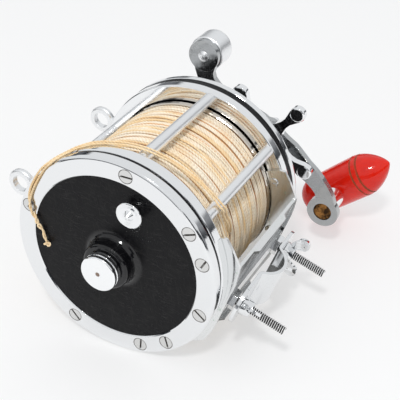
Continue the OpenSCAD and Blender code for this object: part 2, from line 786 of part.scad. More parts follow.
module star_drag() {
    x0 = 114.6;
    x1 = 119;
    arms = 5;
    step = 360 / arms;
    first = 42;
    knob_r = 4.2;
    tip = star_reach - knob_r;
    half_arm = [[tip - 1.5, 3.9], [tip - 4.2, 3], [tip - 7.2, 2.1], [tip - 10.2, 2.1], [14.2, 3.1], [11, 5.2]];
    one_arm = concat([for (i = [5:-1:0]) [half_arm[i][0], -half_arm[i][1]]], half_arm);
    color(chrome) at_handle() difference() {
        union() {
            turned([[0, 103.4], [7, 103.4], [8, 104.4], [8, x0 - 1], [9.5, x0 - 0.1], [9.5, x1 + 0.1],
                [0, x1 + 0.1]]);
            plate_x(x0 + 0.3, x1 - 0.3) polygon([for (i = [0:arms - 1]) each concat(
                [turn2([8.8, 0], first + step * (i - 0.5))],
                [for (p = one_arm) turn2(p, first + step * i)])]);
            for (i = [0:arms - 1]) rotate([first + step * i, 0, 0]) translate([0, tip, 0])
                turned([[0, x0], [knob_r - 0.9, x0], [knob_r - 0.3, x0 + 0.3], [knob_r, x0 + 0.9],
                    [knob_r, x1 - 0.9], [knob_r - 0.3, x1 - 0.3], [knob_r - 0.9, x1], [0, x1]]);
        }
        rod_x(100, 122, sleeve_r + running);
    }
}

// the arm seen along X, an S with the grip's end at +u: two like edges, each half a turn from the other
module arm_outline() {
    edge = [[52, -8.7], [47, -11.1], [42, -12.2], [36, -12.8], [30, -12.8], [24, -12.1], [16, -10.6], [8, -8.7],
        [0, -7.6], [-9, -5.4], [-18, -1.8], [-26, 1.4], [-32, 3.1], [-37, 3.7], [-40.6, 3.5], [-43.3, 2],
        [-45.2, -1.4], [-47.4, -5.8], [-51, -8.2]];
    circle(r = 9);
    translate([grip_throw, 0]) circle(r = 8.8);
    translate([-weight_throw, 0]) circle(r = 8.6);
    polygon(concat(edge, [for (p = edge) -p]));
}

module handle_arm()
    color(chrome) at_handle() difference() {
        rotate([handle_angle, 0, 0]) difference() {
            intersection() {
                plate_x(arm_near - 1, arm_near + arm_crank + arm_t + 1) arm_outline();
                // side view: hub and two ends, joined by short slopes
                translate([0, 0, -20]) linear_extrude(40) polygon([
                    [arm_near, -weight_throw - 20], [arm_near, -24], [arm_near + arm_crank, -13],
                    [arm_near + arm_crank, 13], [arm_near, 24], [arm_near, grip_throw + 20],
                    [arm_near + arm_t, grip_throw + 20], [arm_near + arm_t, 24.6],
                    [arm_near + arm_crank + arm_t, 13.6], [arm_near + arm_crank + arm_t, -13.6],
                    [arm_near + arm_t, -24.6], [arm_near + arm_t, -weight_throw - 20]]);
            }
            translate([0, grip_throw, 0]) rod_x(arm_near - 1, arm_near + 9, 3.25);
            translate([0, grip_throw, 0]) rod_x(arm_near - 1, arm_near + 1.3, 5.1);
            translate([0, -weight_throw, 0]) rod_x(arm_near - 1, arm_near + 9, 1.7);
        }
        rod_x(arm_near, arm_near + 10, sleeve_r + 0.02);
    }

module handle_nut()
    color(chrome) at_handle() difference() {
        translate([arm_near + arm_crank + arm_t + verge, 0, 0]) rotate([0, 90, 0])
            cylinder(h = 4.5, r = 7.4, $fn = 6);
        rod_x(110, 140, sleeve_r + 0.02);
    }

module handle_spacer()
    color(steel) at_handle() tube_x(119.4, arm_near + arm_crank - verge, 6.6, sleeve_r + 0.05);

module counterweight()
    color(chrome) at_handle() rotate([handle_angle, 0, 0]) translate([0, -weight_throw, 0]) {
        back = arm_near + arm_t + verge;
        turned(concat([[0, back], [9, back], [9.5, back + 0.5]], arc([8.1, 135.2], 1.4, 0, 90, 4), [[0, 136.6]]));
        rod_x(arm_near - 0.2, back + 0.1, 1.6);
        turned([[0, arm_near - 1.2], [1.6, arm_near - 1], [2.8, arm_near - 0.3], [3, arm_near - verge],
            [0, arm_near - verge]]);
    }

module grip_spindle()
    color(chrome) translate([0, grip_y, grip_z]) difference() {
        union() {
            rod_x(arm_near + 1.4, 159.4, 3.2);
            turned(concat([[0, 124.1], [5.4, 124.1], [5.6, 126]], arc([2.8, 137.9], 2.8, 0, 90, 8), [[0, 140.7]]));
        }
        rod_x(151, 160, 1.55);
    }

module spindle_rivet()
    color(bronze) translate([0, grip_y, grip_z])
        turned([[0, arm_near + 0.2], [4.4, arm_near + 0.2], [5, arm_near + 0.5], [5, arm_near + 1.3],
            [0, arm_near + 1.3]]);

// radius of the grip at t along its axis: a rounded back, a slow swell and a pointed nose
function grip_radius(t) =
    let (r = grip_d / 2)
    t > grip_nose ? r * pow(max(0, 1 - pow((t - grip_nose) / (grip_tip - grip_nose), 1.7)), 0.82)
    : t < -16 ? (r - 0.7) * sqrt(max(0, 1 - pow((-16 - t) / (-16 - grip_back), 2.2)))
    : r - 0.7 * pow((grip_nose - t) / (grip_nose + 16), 1.6);

module torpedo_grip() {
    groove = 0.45;
    back = [for (i = [0:8]) grip_back + (-16 - grip_back) * (1 - cos(90 * i / 8))];
    swell = [for (i = [1:6]) -16 + (groove_at[0] - 1.2 + 16) * i / 6];
    grooves = [for (g = groove_at) each [[grip_radius(g - 0.5), g - 0.5], [grip_radius(g) - groove, g - 0.25],
        [grip_radius(g) - groove, g + 0.25], [grip_radius(g + 0.5), g + 0.5]]];
    after = groove_at[1] + 1;
    nose = [for (i = [0:12]) after + (grip_tip - after) * sin(90 * i / 12)];
    color(grip_red) translate([0, grip_y, grip_z]) difference() {
        translate([grip_x, 0, 0]) rotate([grip_tilt, 0, 0]) rotate_extrude() polygon(concat(
            [for (t = back) [grip_radius(t), t]], [for (t = swell) [grip_radius(t), t]],
            grooves, [for (t = nose) [grip_radius(t), t]]));
        rod_x(130, 160, 3.26);
        rod_x(159.5, 170, 4.3);
    }
}

module grip_screw()
    color(chrome) translate([0, grip_y, grip_z]) difference() {
        union() {
            rod_x(151.5, 160, 1.5);
            turned([[0, 159.7], [3.9, 159.7], [3.9, 161.2], [3.2, 161.8], [0, 162]]);
        }
        translate([162, 0, 0]) cube([1.6, 10, 0.9], center = true);
    }

// ---------------------------------------------------------------- loose end of the line

// Routes of the two strands, from the winding over two pillars, the rings' rims and the left face
strand_a = [[31, -37.5, 24.6], [27, -36.2, 31.8], [23, -33.6, 38.4], [21.6, -32.8, 41.7], [20.4, -30.4, 43.8],
    [19.8, -23.5, 47.9], [19.4, -15.5, 50.3], [18.6, -5.5, 51.9], [16.8, 2.4, 52.6],
    [15.4, 8.8, 52.5], [14, 15.8, 50.9], [12.8, 22.7, 48], [11.4, 30.3, 43.6],
    [8.4, 35.4, 39.6], [4.6, 38.6, 36.5], [1.2, 41.3, 33.2], [-0.8, 43.1, 29.6],
    [-1.1, 44.8, 25], [-1.1, 46.3, 17.6], [-1, 47.2, 11], [-1, 47.3, 5],
    [-1.9, 46, 1], [-0.9, 44.6, -1.6], [-0.8, 42.2, -3.2], [-1.5, 41, -5.6],
    [-0.6, 38.9, -6.6], [-0.1, 37, -9.4], [-1.1, 35.3, -11.2], [-0.9, 33.4, -13]];
strand_b = [[32.8, -37.9, 24], [29.4, -37, 30.6], [25.6, -34.4, 37.4], [24, -33.2, 41.3], [22.6, -30.9, 43.6],
    [21.2, -24.5, 47.5], [20.6, -16.5, 50], [20, -7.5, 51.7], [18.8, 1.4, 52.6],
    [17.4, 8.6, 52.5], [16, 16.2, 50.8], [14.6, 23.6, 47.6], [13.2, 31.2, 43],
    [10.2, 36.5, 38.6], [6.6, 39.7, 35.3], [2.8, 42.7, 31.6], [-0.3, 44.8, 28],
    [-1.1, 46.4, 24], [-1.1, 47.9, 17.2], [-1, 48.7, 11], [-1, 48.2, 5],
    [-0.9, 46.6, 1.8], [-1.9, 44.4, -1], [-0.9, 43.4, -3.6], [-0.5, 40.8, -5],
    [-1.5, 39.3, -7.2], [-0.8, 36.9, -8.2], [-0.1, 35.4, -11.2], [-0.9, 33.4, -13]];

module line_strand_a()
    color(line_beige) wire(strand_a, line_d / 2, 8);

module line_strand_b()
    color(line_beige) wire(strand_b, line_d / 2, 8);

module line_knot()
    color(line_beige) translate([-1.1, 32.5, -14]) sphere(r = 1.5, $fn = 24);

// ---------------------------------------------------------------- the reel

lay() left_outer_ring();
lay() left_side_plate();
lay() left_inner_ring();
lay() right_inner_ring();
lay() right_side_plate();
lay() right_outer_ring();
lay() pillars();
lay() left_harness_lug();
lay() right_harness_lug();
lay() left_ring_screws();
lay() right_ring_screws();
lay() reel_stand();
lay() stand_screws();
lay() saddle_bar();
lay() clamp_studs();
lay() stud_nuts();
lay() rod_clamp_strap();
lay() left_wing_nut();
lay() right_wing_nut();
lay() spool_arbor();
lay() left_spool_flange();
lay() right_spool_flange();
lay() spool_shaft();
lay() line_winding();
lay() click_ratchet();
lay() left_bearing();
lay() right_bearing();
lay() left_bearing_cap();
lay() right_bearing_cap();
lay() click_button();
lay() click_tongue();
lay() click_spring();
lay() bridge_plate();
lay() bridge_screws();
lay() gear_stud();
lay() gear_sleeve();
lay() main_gear();
lay() pinion();
lay() clutch_yoke();
lay() yoke_springs();
lay() anti_reverse_ratchet();
lay() anti_reverse_dog();
lay() dog_spring();
lay() leather_drag_washers();
lay() metal_drag_washers();
lay() spacing_sleeve();
lay() star_drag();
lay() handle_arm();
lay() handle_spacer();
lay() handle_nut();
lay() counterweight();
lay() grip_spindle();
lay() spindle_rivet();
lay() torpedo_grip();
lay() grip_screw();
lay() freespool_lever();
lay() clutch_cam();
lay() line_strand_a();
lay() line_strand_b();
lay() line_knot();
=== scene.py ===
"""Looks of a star drag fishing reel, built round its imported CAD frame.

Reel coordinates are the ones that the reel was drawn in, in millimetres: x runs along the spool axis
from the left ring's face, y away from the rod seat, and z up from the spool axis. reel_point() takes
them to the row frame, where the reel lies on the table.
"""

import json
import math
import random

import bpy
import numpy as np
from mathutils import Matrix, Vector


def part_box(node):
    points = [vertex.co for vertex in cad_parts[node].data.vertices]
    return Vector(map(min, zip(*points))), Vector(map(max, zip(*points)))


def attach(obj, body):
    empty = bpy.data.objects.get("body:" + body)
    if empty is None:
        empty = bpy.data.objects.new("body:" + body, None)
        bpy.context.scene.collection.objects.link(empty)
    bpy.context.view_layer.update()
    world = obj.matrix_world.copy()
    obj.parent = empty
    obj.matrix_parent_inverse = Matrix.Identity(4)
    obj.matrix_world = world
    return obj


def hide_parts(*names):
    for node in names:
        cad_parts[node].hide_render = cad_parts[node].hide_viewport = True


MM = 0.001

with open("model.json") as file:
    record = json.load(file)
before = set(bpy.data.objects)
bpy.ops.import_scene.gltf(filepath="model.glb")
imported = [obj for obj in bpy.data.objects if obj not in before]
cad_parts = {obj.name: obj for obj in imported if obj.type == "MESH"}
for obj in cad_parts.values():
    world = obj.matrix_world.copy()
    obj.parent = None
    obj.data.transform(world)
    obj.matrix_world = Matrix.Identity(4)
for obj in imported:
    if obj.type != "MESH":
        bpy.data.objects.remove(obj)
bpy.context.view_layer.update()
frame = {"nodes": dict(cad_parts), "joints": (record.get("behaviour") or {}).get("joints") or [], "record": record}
nodes = frame["nodes"]
joints = {joint["name"]: joint for joint in frame["joints"]}

# ---------------------------------------------------------------- reel coordinates

AWAY_FROM_ROD = -Vector(joints["strap_slide"]["axis"])
ALONG_SPOOL = Vector((1, 0, 0))
SPOOL_AXIS = Vector(joints["spool_spin"]["pos_m"])
REEL_ORIGIN = Vector((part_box("left_outer_ring")[0].x, SPOOL_AXIS.y, SPOOL_AXIS.z))
REEL = Matrix.Translation(REEL_ORIGIN) @ Matrix(
    (ALONG_SPOOL, AWAY_FROM_ROD, ALONG_SPOOL.cross(AWAY_FROM_ROD))
).transposed().to_4x4() @ Matrix.Scale(MM, 4)


def to_reel(point):
    """A point of the row frame, in reel coordinates."""
    return REEL.inverted() @ Vector(point)


# ---------------------------------------------------------------- camera

CAMERA_FROM_REEL = Vector((-0.3093, -0.2042, 0.2673))
CAMERA_TURN = math.radians(-62.75)
CAMERA_DOWN = math.radians(32.54)
LENS = 89.5


def make_camera():
    """The camera, placed from the reel's origin."""
    data = bpy.data.cameras.new("camera")
    data.lens = LENS
    data.sensor_width = 36
    camera = bpy.data.objects.new("camera", data)
    camera.location = REEL_ORIGIN + CAMERA_FROM_REEL
    camera.rotation_euler = (math.pi / 2 - CAMERA_DOWN, 0, CAMERA_TURN)
    bpy.context.scene.collection.objects.link(camera)
    bpy.context.scene.camera = camera


# ---------------------------------------------------------------- shader helpers


class Shader:
    """A node material with one Principled shader, or a world, and short calls for its nodes."""

    def __init__(self, name, world=None):
        if world:
            self.tree = world.node_tree
            self.tree.nodes.clear()
            output = self.tree.nodes.new("ShaderNodeOutputWorld")
            self.background = self.tree.nodes.new("ShaderNodeBackground")
            self.tree.links.new(self.background.outputs[0], output.inputs["Surface"])
            self.place = self.tree.nodes.new("ShaderNodeTexCoord").outputs["Generated"]
            return
        self.material = bpy.data.materials.new(name)
        self.material.use_nodes = True
        self.tree = self.material.node_tree
        self.tree.nodes.clear()
        output = self.tree.nodes.new("ShaderNodeOutputMaterial")
        self.principled = self.tree.nodes.new("ShaderNodeBsdfPrincipled")
        self.tree.links.new(self.principled.outputs[0], output.inputs["Surface"])
        self.place = self.tree.nodes.new("ShaderNodeTexCoord").outputs["Object"]

    def fill(self, socket, value):
        if isinstance(value, bpy.types.NodeSocket):
            self.tree.links.new(value, socket)
        elif socket.type == "RGBA" and len(value) == 3:
            socket.default_value = (*value, 1)
        else:
            socket.default_value = value

    def set(self, **values):
        """Sets the Principled shader's sockets: base_color is Base Color, and so on."""
        names = {s.name.lower().replace(" ", "_"): s for s in self.principled.inputs}
        for name, value in values.items():
            self.fill(names[name], value)

    def node(self, kind, values=None, **settings):
        made = self.tree.nodes.new("ShaderNode" + kind)
        for name, value in settings.items():
            setattr(made, name, value)
        for name, value in (values or {}).items():
            self.fill(made.inputs[name], value)
        return made

    def math(self, operation, a, b=0.0, c=0.0):
        return self.node("Math", {0: a, 1: b, 2: c}, operation=operation).outputs[0]

    def stretched(self, scale, turn):
        """Coordinates with a different scale along each axis, in 1/m, turned first."""
        turned_place = self.node("Mapping", {"Vector": self.place, "Rotation": turn}, vector_type="POINT")
        return self.node("Mapping", {"Vector": turned_place.outputs[0], "Scale": scale}).outputs[0]

    def noise(self, scale, detail=3.0, roughness=0.5, place=None, distortion=0.0):
        made = self.node(
            "TexNoise",
            {
                "Vector": place or self.place,
                "Scale": scale,
                "Detail": detail,
                "Roughness": roughness,
                "Distortion": distortion,
            },
        )
        return made.outputs["Fac"]

    def spread(self, value, low, high, to_low=0.0, to_high=1.0):
        """value between low and high becomes a value between to_low and to_high, and stops there."""
        made = self.node(
            "MapRange",
            {"Value": value, "From Min": low, "From Max": high, "To Min": to_low, "To Max": to_high},
            interpolation_type="SMOOTHSTEP",
        )
        return made.outputs[0]

    def mix(self, share, a, b):
        made = self.node("Mix", data_type="RGBA", clamp_factor=True)
        for index, value in ((0, share), (6, a), (7, b)):
            self.fill(made.inputs[index], value)
        return made.outputs[2]

    def bump(self, height, depth, normal=None):
        """Bump from a height between 0 and 1, depth metres high."""
        values = {"Height": height, "Distance": depth, "Strength": 1.0}
        if normal:
            values["Normal"] = normal
        return self.node("Bump", values).outputs[0]

    def round_edges(self, radius):
        return self.node("Bevel", {"Radius": radius}, samples=4).outputs[0]

    def scratches(self, turns, length=90.0, fineness=5200.0, share=0.06):
        """Thin marks in a few directions: 1 on a mark and 0 beside it."""
        total = None
        for turn in turns:
            lines = self.noise(
                1.0, detail=2.0, roughness=0.6, place=self.stretched((length, fineness, length * 3), turn)
            )
            marks = self.spread(lines, 0.66 - share, 0.66 + share * 0.4)
            total = marks if total is None else self.math("MAXIMUM", total, marks)
        return total

    def away_from(self, point):
        """The vector from a point of the frame to each place, in metres."""
        return self.node("VectorMath", {0: self.place, 1: tuple(point)}, operation="SUBTRACT").outputs[0]

    def across_spool_axis(self):
        """The vector from the spool axis, square to it."""
        away = self.away_from(SPOOL_AXIS)
        return self.node("VectorMath", {0: away, 1: (0, 1, 1)}, operation="MULTIPLY").outputs[0]

    def from_spool_axis(self):
        """Distance from the spool axis, in metres."""
        return self.node("VectorMath", {0: self.across_spool_axis()}, operation="LENGTH").outputs["Value"]


# ---------------------------------------------------------------- metal

SCRATCH_TURNS = [(0.3, 0.5, 0.2), (1.1, 0.2, 1.9), (2.0, 1.3, 0.8)]
SCRATCH_DEPTH = 0.0015 * MM
EDGE_R = 0.15 * MM
PIT_BROWN = (0.22, 0.17, 0.12)
VERDIGRIS = (0.20, 0.46, 0.24)
# Tarnish, and a painted dark reflection of the shaded table, on the stand's faces towards the rod.
TARNISH_AND_DARK_REFLECTION = (0.10, 0.10, 0.095)
WORN_THROUGH = (0.20, 0.10, 0.05)
# Colour of the dark seam rings and of the painted shade in the screw slots.
SEAM_AND_PAINTED_SLOT_SHADE = (0.055, 0.04, 0.03)
DIMPLE_R = 0.9 * MM
DIMPLE_EDGE = 0.4 * MM
TARNISH_AND_REFLECTION_EDGE = 0.5 * MM


def tarnish_and_reflection_share(s, low, high):
    """1 where the faces towards the rod get tarnish and a painted dark reflection, between two x, and 0 elsewhere.
    """
    x = s.node("SeparateXYZ", {0: s.place}).outputs["X"]
    past_low = s.spread(x, low, low + TARNISH_AND_REFLECTION_EDGE)
    before_high = s.spread(x, high - TARNISH_AND_REFLECTION_EDGE, high, 1.0, 0.0)
    inside = s.math("MULTIPLY", past_low, before_high)
    vectors = {0: s.node("NewGeometry").outputs["Normal"], 1: tuple(-AWAY_FROM_ROD)}
    facing = s.node("VectorMath", vectors, operation="DOT_PRODUCT").outputs["Value"]
    tarnish_and_dark_reflection = s.math("MULTIPLY", inside, s.spread(facing, 0.4, 0.8))
    cloudy = s.spread(s.noise(140, detail=6, roughness=0.7), 0.3, 0.7, 0.82, 1.0)
    return s.math("MULTIPLY", tarnish_and_dark_reflection, cloudy)


def plated(
    name, color, smooth, rough, edge=EDGE_R, marks=0.5, pits=0.0, green=0.0, centre=False,
    within=None, waves=0.0,
):
    """Chrome plate: a polished surface with smudges, fine scratches and a few dull spots.

    pits adds small corroded spots, green adds verdigris, and centre browns the dimple on the spool axis.
    within holds the two x between which the faces towards the rod get tarnish and a painted dark reflection. waves
    is the depth in metres of the slow waves of a cast surface.
    """
    s = Shader(name)
    smudges = s.noise(70, detail=5, roughness=0.6)
    grain = s.noise(3000, detail=2)
    marked = s.scratches(SCRATCH_TURNS, fineness=9000.0)
    dull = s.spread(s.noise(520, detail=4, roughness=0.7), 0.70, 0.78)
    roughness = s.spread(smudges, 0.35, 0.72, smooth, rough)
    roughness = s.math("MULTIPLY_ADD", marked, 0.10 * marks, roughness)
    roughness = s.math("MULTIPLY_ADD", dull, 0.12, roughness)
    tint = s.mix(s.math("MULTIPLY", dull, 0.25), color, tuple(0.62 * c for c in color))
    metallic = 1.0
    if pits:
        pitted = s.spread(s.noise(1300, detail=5, roughness=0.75), 0.62, 0.70)
        tint = s.mix(s.math("MULTIPLY", pitted, pits), tint, PIT_BROWN)
        roughness = s.math("MULTIPLY_ADD", pitted, 0.3 * pits, roughness)
    if green:
        crust = s.math("MULTIPLY", s.spread(s.noise(330, detail=6, roughness=0.8), 0.60, 0.66), green)
        tint = s.mix(crust, tint, VERDIGRIS)
        roughness = s.math("MULTIPLY_ADD", crust, 0.5, roughness)
        metallic = s.math("SUBTRACT", 1.0, crust)
    # Tarnish and a painted dark reflection on the faces towards the rod.
    if within:
        tarnish_and_dark_reflection = tarnish_and_reflection_share(s, *within)
        tint = s.mix(tarnish_and_dark_reflection, tint, TARNISH_AND_DARK_REFLECTION)
        roughness = s.math("MULTIPLY_ADD", tarnish_and_dark_reflection, 0.12, roughness)
    if centre:
        worn = s.spread(s.from_spool_axis(), DIMPLE_R, DIMPLE_R + DIMPLE_EDGE, 0.85, 0.0)
        tint = s.mix(worn, tint, WORN_THROUGH)
        roughness = s.math("MULTIPLY_ADD", worn, 0.35, roughness)
    rounded = s.round_edges(edge)
    if waves:
        rounded = s.bump(s.noise(190, detail=0), waves, rounded)
    height = s.math("MULTIPLY_ADD", marked, -0.6, s.math("MULTIPLY", grain, 0.2))
    relief = s.bump(height, SCRATCH_DEPTH, rounded)
    s.set(base_color=tint, metallic=metallic, roughness=roughness, normal=relief)
    return s.material


SCREW_GAP = 0.04
# Radius of the seam round a screw's head.
SEAM_R = 3.39 * MM


def screw_centres():
    """Centres of the ring screws in metres from the spool axis, in the row frame's (y, z).

    The screws are one node, and an angle of SCREW_GAP radians with no vertex divides two of them.
    """
    points = np.array([tuple(v.co) for v in nodes["left_ring_screws"].data.vertices])[:, 1:]
    points = points - np.array(SPOOL_AXIS)[1:]
    turn = np.arctan2(points[:, 1], points[:, 0])
    order = np.argsort(turn)
    gaps = np.diff(turn[order]) > SCREW_GAP
    groups = np.split(order, np.nonzero(gaps)[0] + 1)
    if turn[order[0]] + math.tau - turn[order[-1]] < SCREW_GAP:
        groups[0] = np.concatenate([groups[0], groups.pop()])
    return [tuple((points[g].min(0) + points[g].max(0)) / 2) for g in groups]


def ring_metal(name, color, smooth, rough, shade_in_slots):
    """Polished ring or screw metal, darker along the seam round each screw and, if asked, with painted shade from
    ambient occlusion in its slot.
    """
    s = Shader(name)
    smudges = s.noise(70, detail=5, roughness=0.6)
    marked = s.scratches(SCRATCH_TURNS, fineness=9000.0)
    roughness = s.spread(smudges, 0.35, 0.72, smooth, rough)
    roughness = s.math("MULTIPLY_ADD", marked, 0.08, roughness)
    flat = s.across_spool_axis()
    nearest = 1.0
    for y, z in screw_centres():
        reach = s.node("VectorMath", {0: flat, 1: (0, y, z)}, operation="DISTANCE").outputs["Value"]
        nearest = s.math("MINIMUM", nearest, reach)
    # A dark ring along the seam round each screw's head.
    seam = s.math("ABSOLUTE", s.math("SUBTRACT", nearest, SEAM_R))
    dirt_and_painted_shade = s.spread(seam, 0.12 * MM, 0.26 * MM, 0.9, 0.0)
    if shade_in_slots:
        # Painted shade: ambient occlusion darkens the slots and other hollows of the screw heads.
        hidden = s.node("AmbientOcclusion", {"Distance": 1.2 * MM}, samples=8).outputs["AO"]
        dirt_and_painted_shade = s.math("MAXIMUM", dirt_and_painted_shade, s.spread(hidden, 0.5, 0.92, 1.0, 0.0))
    dirt_and_painted_shade = s.math("MULTIPLY", dirt_and_painted_shade, s.spread(s.noise(700, detail=3), 0.3, 0.55, 0.6, 1.0))
    tint = s.mix(dirt_and_painted_shade, color, SEAM_AND_PAINTED_SLOT_SHADE)
    roughness = s.math("MULTIPLY_ADD", dirt_and_painted_shade, 0.4, roughness)
    metallic = s.math("MULTIPLY_ADD", dirt_and_painted_shade, -0.8, 1.0)
    relief = s.bump(s.math("MULTIPLY", marked, -0.6), SCRATCH_DEPTH, s.round_edges(EDGE_R))
    s.set(base_color=tint, metallic=metallic, roughness=roughness, normal=relief)
    return s.material


# ---------------------------------------------------------------- mouldings, leather and line

BOSS_R = 13.2 * MM
BOSS_EDGE = 3.3 * MM
ROUNDED_R = 0.2 * MM


def moulded_black(name):
    """Black phenolic moulding: a satin face with handling marks, and a polished boss in the middle."""
    s = Shader(name)
    face = s.spread(s.from_spool_axis(), BOSS_R, BOSS_R + BOSS_EDGE)
    cloud = s.noise(120, detail=6, roughness=0.65)
    grain = s.noise(2600, detail=3, roughness=0.6)
    pebbles = s.noise(620, detail=4, roughness=0.6, distortion=0.6)
    marked = s.scratches(SCRATCH_TURNS, length=60.0, fineness=3600.0, share=0.05)
    roughness = s.math("ADD", s.spread(face, 0, 1, 0.05, 0.26), s.spread(cloud, 0.3, 0.75, -0.02, 0.12))
    roughness = s.math("MULTIPLY_ADD", marked, 0.12, roughness)
    dusty = s.math("MULTIPLY", s.spread(cloud, 0.45, 0.8, 0.0, 0.5), face)
    color = s.mix(dusty, (0.004, 0.004, 0.005), (0.011, 0.011, 0.011))
    color = s.mix(s.math("MULTIPLY", marked, 0.3), color, (0.05, 0.048, 0.046))
    height = s.math("MULTIPLY_ADD", pebbles, 0.7, s.math("MULTIPLY", grain, 0.5))
    height = s.math("MULTIPLY_ADD", marked, -0.5, height)
    s.set(
        base_color=color,
        roughness=roughness,
        normal=s.bump(s.math("MULTIPLY", height, face), 0.03 * MM, s.round_edges(ROUNDED_R)),
        specular_ior_level=s.spread(face, 0, 1, 0.5, 0.15),
    )
    return s.material


def oiled_metal(name, color, dark, roughness):
    """Turned or stamped metal with an old oil film."""
    s = Shader(name)
    cloud = s.noise(260, detail=5, roughness=0.65)
    grain = s.noise(2400, detail=3)
    marked = s.scratches(SCRATCH_TURNS[:2])
    tint = s.mix(s.spread(cloud, 0.35, 0.62), color, dark)
    rough = s.math("MULTIPLY_ADD", marked, 0.1, s.spread(cloud, 0.3, 0.8, roughness, roughness + 0.2))
    relief = s.bump(s.math("MULTIPLY_ADD", grain, 0.6, marked), 0.006 * MM, s.round_edges(0.1 * MM))
    s.set(base_color=tint, metallic=1.0, roughness=rough, normal=relief)
    return s.material


def leather(name):
    """Brown leather with a fine grain of cells."""
    s = Shader(name)
    cells = s.node("TexVoronoi", {"Vector": s.place, "Scale": 900.0}, feature="DISTANCE_TO_EDGE")
    grain = s.spread(cells.outputs["Distance"], 0.0, 0.25)
    tint = s.mix(s.noise(300, detail=5), (0.11, 0.05, 0.022), (0.30, 0.16, 0.07))
    s.set(base_color=tint, roughness=0.6, normal=s.bump(grain, 0.03 * MM))
    return s.material


# The grip's two turned grooves, in millimetres along its axis from its joint.
GROOVES_AT = (14.0, 17.5)
GROOVE_HALF = 0.25 * MM
GROOVE_EDGE = 0.6 * MM
GROOVE_DIRT = (0.26, 0.07, 0.025)


def polished_red(name):
    """Red plastic with a worn polish and old dirt in the grip's two turned grooves."""
    s = Shader(name)
    grip = nodes["torpedo_grip"].data
    points = np.array([tuple(v.co) for v in grip.vertices])
    middle = np.array(joints["grip_spin"]["pos_m"])
    axis = np.linalg.svd(points - points.mean(0))[2][0]
    along = (points - middle) @ axis
    if along.max() < -along.min():
        axis = -axis
    vectors = {0: s.away_from(middle), 1: tuple(axis)}
    reach = s.node("VectorMath", vectors, operation="DOT_PRODUCT").outputs["Value"]
    dirt_and_painted_shade = 0.0
    for groove in GROOVES_AT:
        from_groove = s.math("ABSOLUTE", s.math("SUBTRACT", reach, groove * MM))
        in_groove = s.spread(from_groove, GROOVE_HALF, GROOVE_HALF + GROOVE_EDGE, 1.0, 0.0)
        dirt_and_painted_shade = s.math("MAXIMUM", dirt_and_painted_shade, in_groove)
    patchy = s.spread(s.noise(300, detail=5, roughness=0.7), 0.3, 0.6, 0.45, 0.95)
    dirt_and_painted_shade = s.math("MULTIPLY", dirt_and_painted_shade, patchy)
    cloud = s.noise(90, detail=5, roughness=0.6)
    marked = s.scratches(SCRATCH_TURNS, length=70.0, fineness=7200.0, share=0.05)
    tint = s.mix(s.spread(cloud, 0.3, 0.75), (0.74, 0.018, 0.006), (0.63, 0.012, 0.005))
    tint = s.mix(dirt_and_painted_shade, tint, GROOVE_DIRT)
    roughness = s.math("MULTIPLY_ADD", marked, 0.10, s.spread(cloud, 0.3, 0.8, 0.06, 0.14))
    roughness = s.math("MULTIPLY_ADD", dirt_and_painted_shade, 0.45, roughness)
    orange_peel = s.noise(160, detail=1)
    height = s.math("MULTIPLY_ADD", marked, -0.06, orange_peel)
    s.set(
        base_color=tint,
        roughness=roughness,
        normal=s.bump(height, 0.02 * MM, s.round_edges(ROUNDED_R)),
        specular_ior_level=0.38,
        subsurface_weight=0.06,
        subsurface_radius=(0.004, 0.0008, 0.0006),
        subsurface_scale=0.3,
    )
    return s.material


PLIES = 2
# The line's pale, warm and brown tones; the brown is painted shade in the grooves between the plies.
LINE_SHADES = ((1.0, 0.93, 0.79), (0.97, 0.79, 0.54), (0.72, 0.44, 0.20))
WARM_TONE = (0.95, 0.82, 0.62)
SHADED_TONE = (0.80, 0.48, 0.24)


def twisted_line(name, tone=(1.0, 1.0, 1.0)):
    """Beige line: the UV map runs along it in metres and round it from 0 to 1, with the twist in the mesh."""
    s = Shader(name)
    uv = s.node("UVMap", uv_map="along_and_round").outputs[0]
    parts = s.node("SeparateXYZ", {0: uv})
    round_it = s.math("MULTIPLY", parts.outputs["Y"], PLIES * math.tau)
    ply = s.math("MULTIPLY_ADD", s.math("COSINE", round_it), 0.5, 0.5)
    fibre_place = s.node("Mapping", {"Vector": uv, "Scale": (900.0, 26.0, 1.0)}).outputs[0]
    fibres = s.noise(1.0, detail=3, roughness=0.65, place=fibre_place)
    blotch = s.noise(110, detail=4, roughness=0.6)
    pale, warm, ply_groove_shade = (tuple(c * t for c, t in zip(shade, tone)) for shade in LINE_SHADES)
    tint = s.mix(s.spread(blotch, 0.36, 0.76), pale, warm)
    tint = s.mix(s.spread(fibres, 0.40, 0.80, 0.0, 0.45), tint, warm)
    # Painted shade: the grooves between the plies are mixed towards brown.
    tint = s.mix(s.spread(ply, 0.0, 0.30, 0.45, 0.0), tint, ply_groove_shade)
    height = s.math("MULTIPLY_ADD", fibres, 0.25, ply)
    s.set(
        base_color=tint,
        roughness=0.72,
        normal=s.bump(height, 0.06 * MM),
        sheen_weight=0.15,
        sheen_roughness=0.5,
    )
    return s.material


# ---------------------------------------------------------------- mesh helpers


def mesh_object(name, points, faces, material, body, uvs=None, smooth=True):
    """A mesh piece from points in reel coordinates. uvs holds one pair for each corner of each face."""
    row = points @ np.array(REEL.to_3x3()).T + np.array(REEL.translation)
    data = bpy.data.meshes.new(name)
    data.from_pydata(row.tolist(), [], faces)
    if uvs is not None:
        layer = data.uv_layers.new(name="along_and_round")
        layer.data.foreach_set("uv", np.asarray(uvs, np.float32).ravel())
    data.polygons.foreach_set("use_smooth", [smooth] * len(data.polygons))
    data.materials.append(material)
    data.update()
    piece = bpy.data.objects.new(name, data)
    bpy.context.scene.collection.objects.link(piece)
    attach(piece, body)
    return piece


